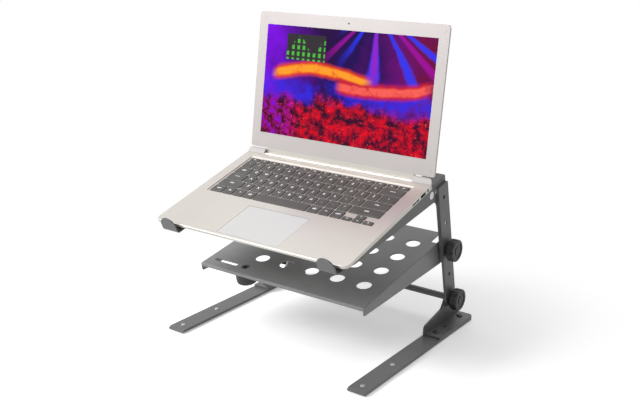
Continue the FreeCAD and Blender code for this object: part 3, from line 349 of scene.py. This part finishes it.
def print_legends(node, marks):
    """marks are (words, x, s, size); they lie flat on the key tops, joined in one thin piece."""
    mesh = bmesh.new()
    for words, x, s, size in marks:
        curve = bpy.data.curves.new("legend", "FONT")
        curve.body, curve.size, curve.resolution_u = words, size, 3
        curve.align_x, curve.align_y = "CENTER", "CENTER"
        curve.extrude, curve.offset = ink_thickness, 0.00006 + 0.016 * size
        text = bpy.data.objects.new("legend", curve)
        bpy.context.scene.collection.objects.link(text)
        bpy.context.view_layer.update()
        flat = bpy.data.meshes.new_from_object(text.evaluated_get(bpy.context.evaluated_depsgraph_get()))
        flat.transform(deck_place @ Matrix.Translation((x, s, key_top + ink_thickness)))
        mesh.from_mesh(flat)
        bpy.data.objects.remove(text)
        bpy.data.curves.remove(curve)
        bpy.data.meshes.remove(flat)
    legends = make_piece(node.replace("keys_", "").replace("key_", "") + "_legends", mesh, ink)
    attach(legends, node + "_press")


def row_marks(words, start, widths, row, size=letter_size):
    """One mark on each key of a row; start and widths are in units, and longer words are printed smaller."""
    marks = []
    edge = left_end + start * unit
    for word, width in zip(words, widths):
        middle = edge + width * unit / 2
        shrink = min(1.0, 3.6 / len(word))
        marks.append((word, middle, front_row + row * pitch + pitch / 2 + above_middle, size * shrink))
        edge += width * unit
    return marks


print_legends("keys_number_row", row_marks("`1234567890-=", 0, (1,) * 13, 4))
print_legends("keys_upper_row", row_marks(["tab", *"QWERTYUIOP[]", "\\"], 0, (1.5,) + (1,) * 12 + (1.5,), 3))
print_legends("keys_home_row", row_marks(["caps lock", *"ASDFGHJKL;'"], 0, (1.75,) + (1,) * 11, 2))
print_legends("keys_lower_row", row_marks(["shift", *"ZXCVBNM,./", "shift"], 0,
                                          (2.25,) + (1,) * 10 + (2.75,), 1))
print_legends("key_backspace", row_marks(["backspace"], 13, (2,), 4, 0.0052))
print_legends("key_enter", row_marks(["enter"], 12.75, (2.25,), 2, 0.0046))
print_legends("keys_bottom_row", row_marks(["ctrl", "fn", "+", "alt"], 0, (1.25, 1, 1, 1), 0)
              + row_marks(["alt", "=", "ctrl"], 9.25, (1.03, 1.03, 1.03), 0))
function_words = ["esc"] + [f"F{number}" for number in range(1, 13)] + ["ins", "del"]
print_legends("keys_function_row", [(words, left_end + (index + 0.5) * unit,
                                     front_row + 5 * pitch + 0.0052, small_letter_size)
                                    for index, words in enumerate(function_words)])
# the arrow keys are half as deep and a little narrower, at the right end of the front row
arrow_unit = 0.0168
arrow_left = left_end + 15 * unit - 3 * arrow_unit
near, far = front_row + 0.0049, front_row + 0.0141
print_legends("keys_arrows", [("<", arrow_left + 0.5 * arrow_unit, near, 0.0050),
                              ("v", arrow_left + 1.5 * arrow_unit, near, 0.0044),
                              (">", arrow_left + 2.5 * arrow_unit, near, 0.0050),
                              ("^", arrow_left + 1.5 * arrow_unit, far, 0.0050)])


# ---------------------------------------------------------------- touchpad
# A pale satin plate, a shade cooler than the casing, that clicks at its front.
# A short printed line at its front edge parts the left and right button zones.
material, place = start_finish("touchpad_surface")
silk = place.noise(2400, 2)
tone = place.noise(14, 2).step(0.3, 0.7)
end_finish(place, base_color=tone.mix((0.57, 0.57, 0.56, 1), (0.59, 0.59, 0.58, 1)), metallic=0.15,
           roughness=0.30 + silk * 0.06, normal=silk.bump(0.05, 0.0001))
dress(material, "touchpad")

tick_line, place = start_finish("tick_line")
grain = place.noise(1200, 2)
end_finish(place, base_color=grain.mix((0.42, 0.40, 0.38, 1), (0.50, 0.48, 0.46, 1)),
           roughness=0.5 + grain * 0.1)
tick_width, tick_length, tick_thickness = 0.0005, 0.0120, 0.00006
tick_middle = (0.0055, 0.0147 - hinge_to_front, deck_top - 0.00014)
mesh = bmesh.new()
bmesh.ops.create_cube(mesh, size=1)
bmesh.ops.scale(mesh, vec=(tick_width, tick_length, tick_thickness), verts=mesh.verts)
corners = [edge for edge in mesh.edges if edge.verts[0].co.z != edge.verts[1].co.z]
bmesh.ops.bevel(mesh, geom=corners, offset=0.0002, offset_type="OFFSET", segments=3, profile=0.5,
                affect="EDGES", material=-1)
bmesh.ops.transform(mesh, verts=mesh.verts, matrix=deck_place @ Matrix.Translation(tick_middle))
tick = make_piece("touchpad_tick", mesh, tick_line)
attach(tick, "touchpad_plate")


# ---------------------------------------------------------------- display and webcam
# A picture area of 294 by 165 mm behind the bezel's window, showing stage lights: blue and violet
# beams, two ribbons of light, a level meter, and glowing red texture below.
lid_lean = deck_slope + radians(90 - 113.4)     # the lid stands open by 113.4 degrees
picture_width, picture_height = 0.2942, 0.1655
picture_foot = 0.0336                           # from the hinge up to the picture's lower edge
picture_shape = 1.78                            # width to height, so that the noise isn't stretched
material, place = start_finish("display_picture")
# across and up run from 0 to 1 over the picture
hinge_in_lid = -(Matrix.Rotation(-lid_lean, 3, "X") @ hinge_point)
flat = place.put("ShaderNodeMapping",
                 {"Vector": place, "Rotation": (-lid_lean, 0, 0), "Location": hinge_in_lid})
x, y, z = flat.axes()
across = x * (1 / picture_width) + 0.5
up = (z - picture_foot) * (1 / picture_height)
plane = place.put("ShaderNodeCombineXYZ", {0: across * picture_shape, 1: up, 2: 0.0})
haze = plane.noise(2.2, 4, 0.6)
fine = plane.noise(11, 6, 0.7)
sparkle = plane.noise(34, 4, 0.7)
picture = across.put("ShaderNodeValToRGB", {0: across + (haze - 0.5) * 0.5}, stops=(
    (0.0, (0.22, 0.0, 0.85)), (0.16, (0.09, 0.0, 0.30)), (0.36, (0.02, 0.0, 0.05)),
    (0.60, (0.015, 0.0, 0.09)), (0.80, (0.13, 0.0, 0.16)), (1.0, (0.16, 0.0, 0.03))))
# blue and violet beams fan out from a lamp above the right-hand side
fan_x, fan_y = across - 0.66, 1.20 - up
angle = fan_x.maths("ARCTAN2", fan_y)
blue_beam = (angle * 17 + haze * 3.0).maths("SINE").step(0.45, 1.0)
blue_beam = blue_beam * up.step(0.34, 0.62) * across.step(0.42, 0.60)
picture = (blue_beam * 0.85).mix(picture, (0.02, 0.04, 0.95, 1))
violet_beam = (angle * 11 + 1.4).maths("SINE").step(0.80, 1.0) * up.step(0.40, 0.75) * across.step(0.30, 0.50)
picture = (violet_beam * 0.6).mix(picture, (0.45, 0.0, 0.45, 1))
# blue haze hangs in the middle, above a floor of red glow with dark texture
pool = (1 - abs(up - 0.42).step(0.02, 0.20)) * (haze + fine * 0.5).step(0.62, 0.86)
picture = (pool * 0.9).mix(picture, (0.03, 0.02, 0.80, 1))
glow = (fine * 1.5 - 0.40).step(0.18, 0.60)
embers = glow.mix((0.03, 0.0, 0.02, 1), (0.80, 0.0, 0.015, 1))
embers = sparkle.step(0.58, 0.70).mix(embers, (0.95, 0.07, 0.05, 1))
low = 1 - (up + (haze - 0.5) * 0.5 + across * 0.05).step(0.30, 0.44)
picture = low.mix(picture, embers)
violet_side = (1 - across.step(0.10, 0.26)) * (1 - up.step(0.30, 0.55)) * fine.step(0.45, 0.6)
picture = (violet_side * 0.8).mix(picture, (0.10, 0.0, 0.75, 1))
# two ribbons of light cross the picture: an orange one and a coral one with a soft fringe
for start, end, height, bend, lean, fringe, core in (
        (0.04, 0.66, 0.63, -0.75, 0.0, (0.80, 0.05, 0.01, 1), (1.0, 0.36, 0.02, 1)),
        (0.44, 1.00, 0.50, 0.55, 0.12, (0.60, 0.01, 0.03, 1), (0.95, 0.12, 0.09, 1))):
    along = across - (start + end) / 2
    off = abs(up - height - along * along * bend - along * lean + (haze - 0.5) * 0.10)
    reach = across.step(start, start + 0.06) * (1 - across.step(end - 0.06, end + 0.02))
    picture = ((1 - off.step(0.035, 0.085)) * reach).mix(picture, fringe)
    picture = ((1 - off.step(0.020, 0.048)) * reach * fine.step(0.25, 0.5)).mix(picture, core)
# a level meter glows at the upper left: green bars on dark grey
bars = (across * 190).maths("SINE").step(-0.2, 0.3) * (up * 110).maths("SINE").step(-0.7, -0.2)
tall = 1 - (up - 0.80 - (across * 37).maths("SINE") * 0.07).step(0.03, 0.05)
meter = (across.step(0.13, 0.135) * (1 - across.step(0.37, 0.375)) * up.step(0.70, 0.705)
         * (1 - up.step(0.93, 0.935)))
panel = (bars * tall).mix((0.035, 0.030, 0.035, 1), (0.08, 0.50, 0.05, 1))
picture = meter.mix(picture, panel)
end_finish(place, base_color=(0.004, 0.004, 0.005, 1), roughness=0.30, emission_color=picture,
           emission_strength=1.0, specular_ior_level=0.03)
dress(material, "display_panel")

material, place = start_finish("lens_glass")
rings = place.noise(800, 1)
end_finish(place, base_color=rings.mix((0.006, 0.006, 0.010, 1), (0.020, 0.020, 0.030, 1)),
           roughness=0.05 + rings * 0.03)
dress(material, "webcam")


# ---------------------------------------------------------------- floor, light and camera
# A plain white studio: a pale floor that keeps the stand's shadow, a broad lamp high on the left
# in front, a wider and weaker one overhead, and even light all round.
# The camera looks down at the stand from its right front corner.
def seen_directly(tree):
    """1 on rays from the camera, a mirror or glass, and 0 on the rays that carry light to the object."""
    path = tree.nodes.new("ShaderNodeLightPath").outputs
    seen = Socket(tree, path["Is Camera Ray"])
    for ray in ("Is Glossy Ray", "Is Transmission Ray"):
        seen = seen.maths("MAXIMUM", Socket(tree, path[ray]))
    return seen


floor_half_width = 12
material, place = start_finish("studio_floor")
seen = seen_directly(place.tree)
matt = place.put("ShaderNodeBsdfDiffuse", {"Color": (0.90, 0.90, 0.905, 1)})
lift = place.put("ShaderNodeEmission", {"Color": (1, 1, 1, 1), "Strength": 0.34})
both = place.put("ShaderNodeAddShader", {0: matt, 1: lift})
bright = place.put("ShaderNodeEmission", {"Color": (1, 1, 1, 1), "Strength": 1.0})
away = place.put("ShaderNodeVectorMath", {0: place}, output="Value", operation="LENGTH").step(0.25, 0.52)
far = place.put("ShaderNodeMixShader", {0: away, 1: both, 2: bright})
shown = place.put("ShaderNodeMixShader", {0: seen, 1: matt, 2: far})
output = place.tree.nodes.new("ShaderNodeOutputMaterial")
place.tree.links.new(shown.socket, output.inputs["Surface"])
mesh = bmesh.new()
bmesh.ops.create_grid(mesh, x_segments=1, y_segments=1, size=floor_half_width)
floor = make_piece("floor", mesh, material)
floor.location.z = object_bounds()[0][2] - 0.0002

world = bpy.data.worlds.new("studio")
world.use_nodes = True
world.node_tree.nodes.clear()
bpy.context.scene.world = world
seen = seen_directly(world.node_tree)
dim = seen.put("ShaderNodeBackground", {"Color": (1, 1, 1, 1), "Strength": 0.27})
white = seen.put("ShaderNodeBackground", {"Color": (1, 1, 1, 1), "Strength": 1.0})
shown = seen.put("ShaderNodeMixShader", {0: seen, 1: dim, 2: white})
output = seen.tree.nodes.new("ShaderNodeOutputWorld")
seen.tree.links.new(shown.socket, output.inputs["Surface"])


def softbox(name, position, size, power):
    """A round lamp turned to the middle of the stand."""
    light = bpy.data.lights.new(name, "AREA")
    light.shape, light.size, light.energy = "DISK", size, power
    lamp = bpy.data.objects.new(name, light)
    bpy.context.scene.collection.objects.link(lamp)
    lamp.location = position
    lamp.rotation_euler = (Vector(position) - Vector((0, 0, 0.15))).to_track_quat("Z", "Y").to_euler()


softbox("key_light", (-1.5, -1.8, 1.9), size=1.6, power=83)
softbox("top_light", (-0.2, 0.4, 2.6), size=3.4, power=26)

bpy.context.scene.view_settings.view_transform = "Standard"
lens = bpy.data.cameras.new("camera")
lens.lens, lens.sensor_width = 51.55, 36
camera = bpy.data.objects.new("camera", lens)
bpy.context.scene.collection.objects.link(camera)
round_to_right, looking_down, roll = radians(35.35), radians(16.51), radians(0.62)
turn = (Matrix.Rotation(round_to_right, 4, "Z") @ Matrix.Rotation(pi / 2 - looking_down, 4, "X")
        @ Matrix.Rotation(roll, 4, "Z"))
camera.matrix_world = Matrix.Translation((0.73859, -1.03349, 0.57898)) @ turn
bpy.context.scene.camera = camera
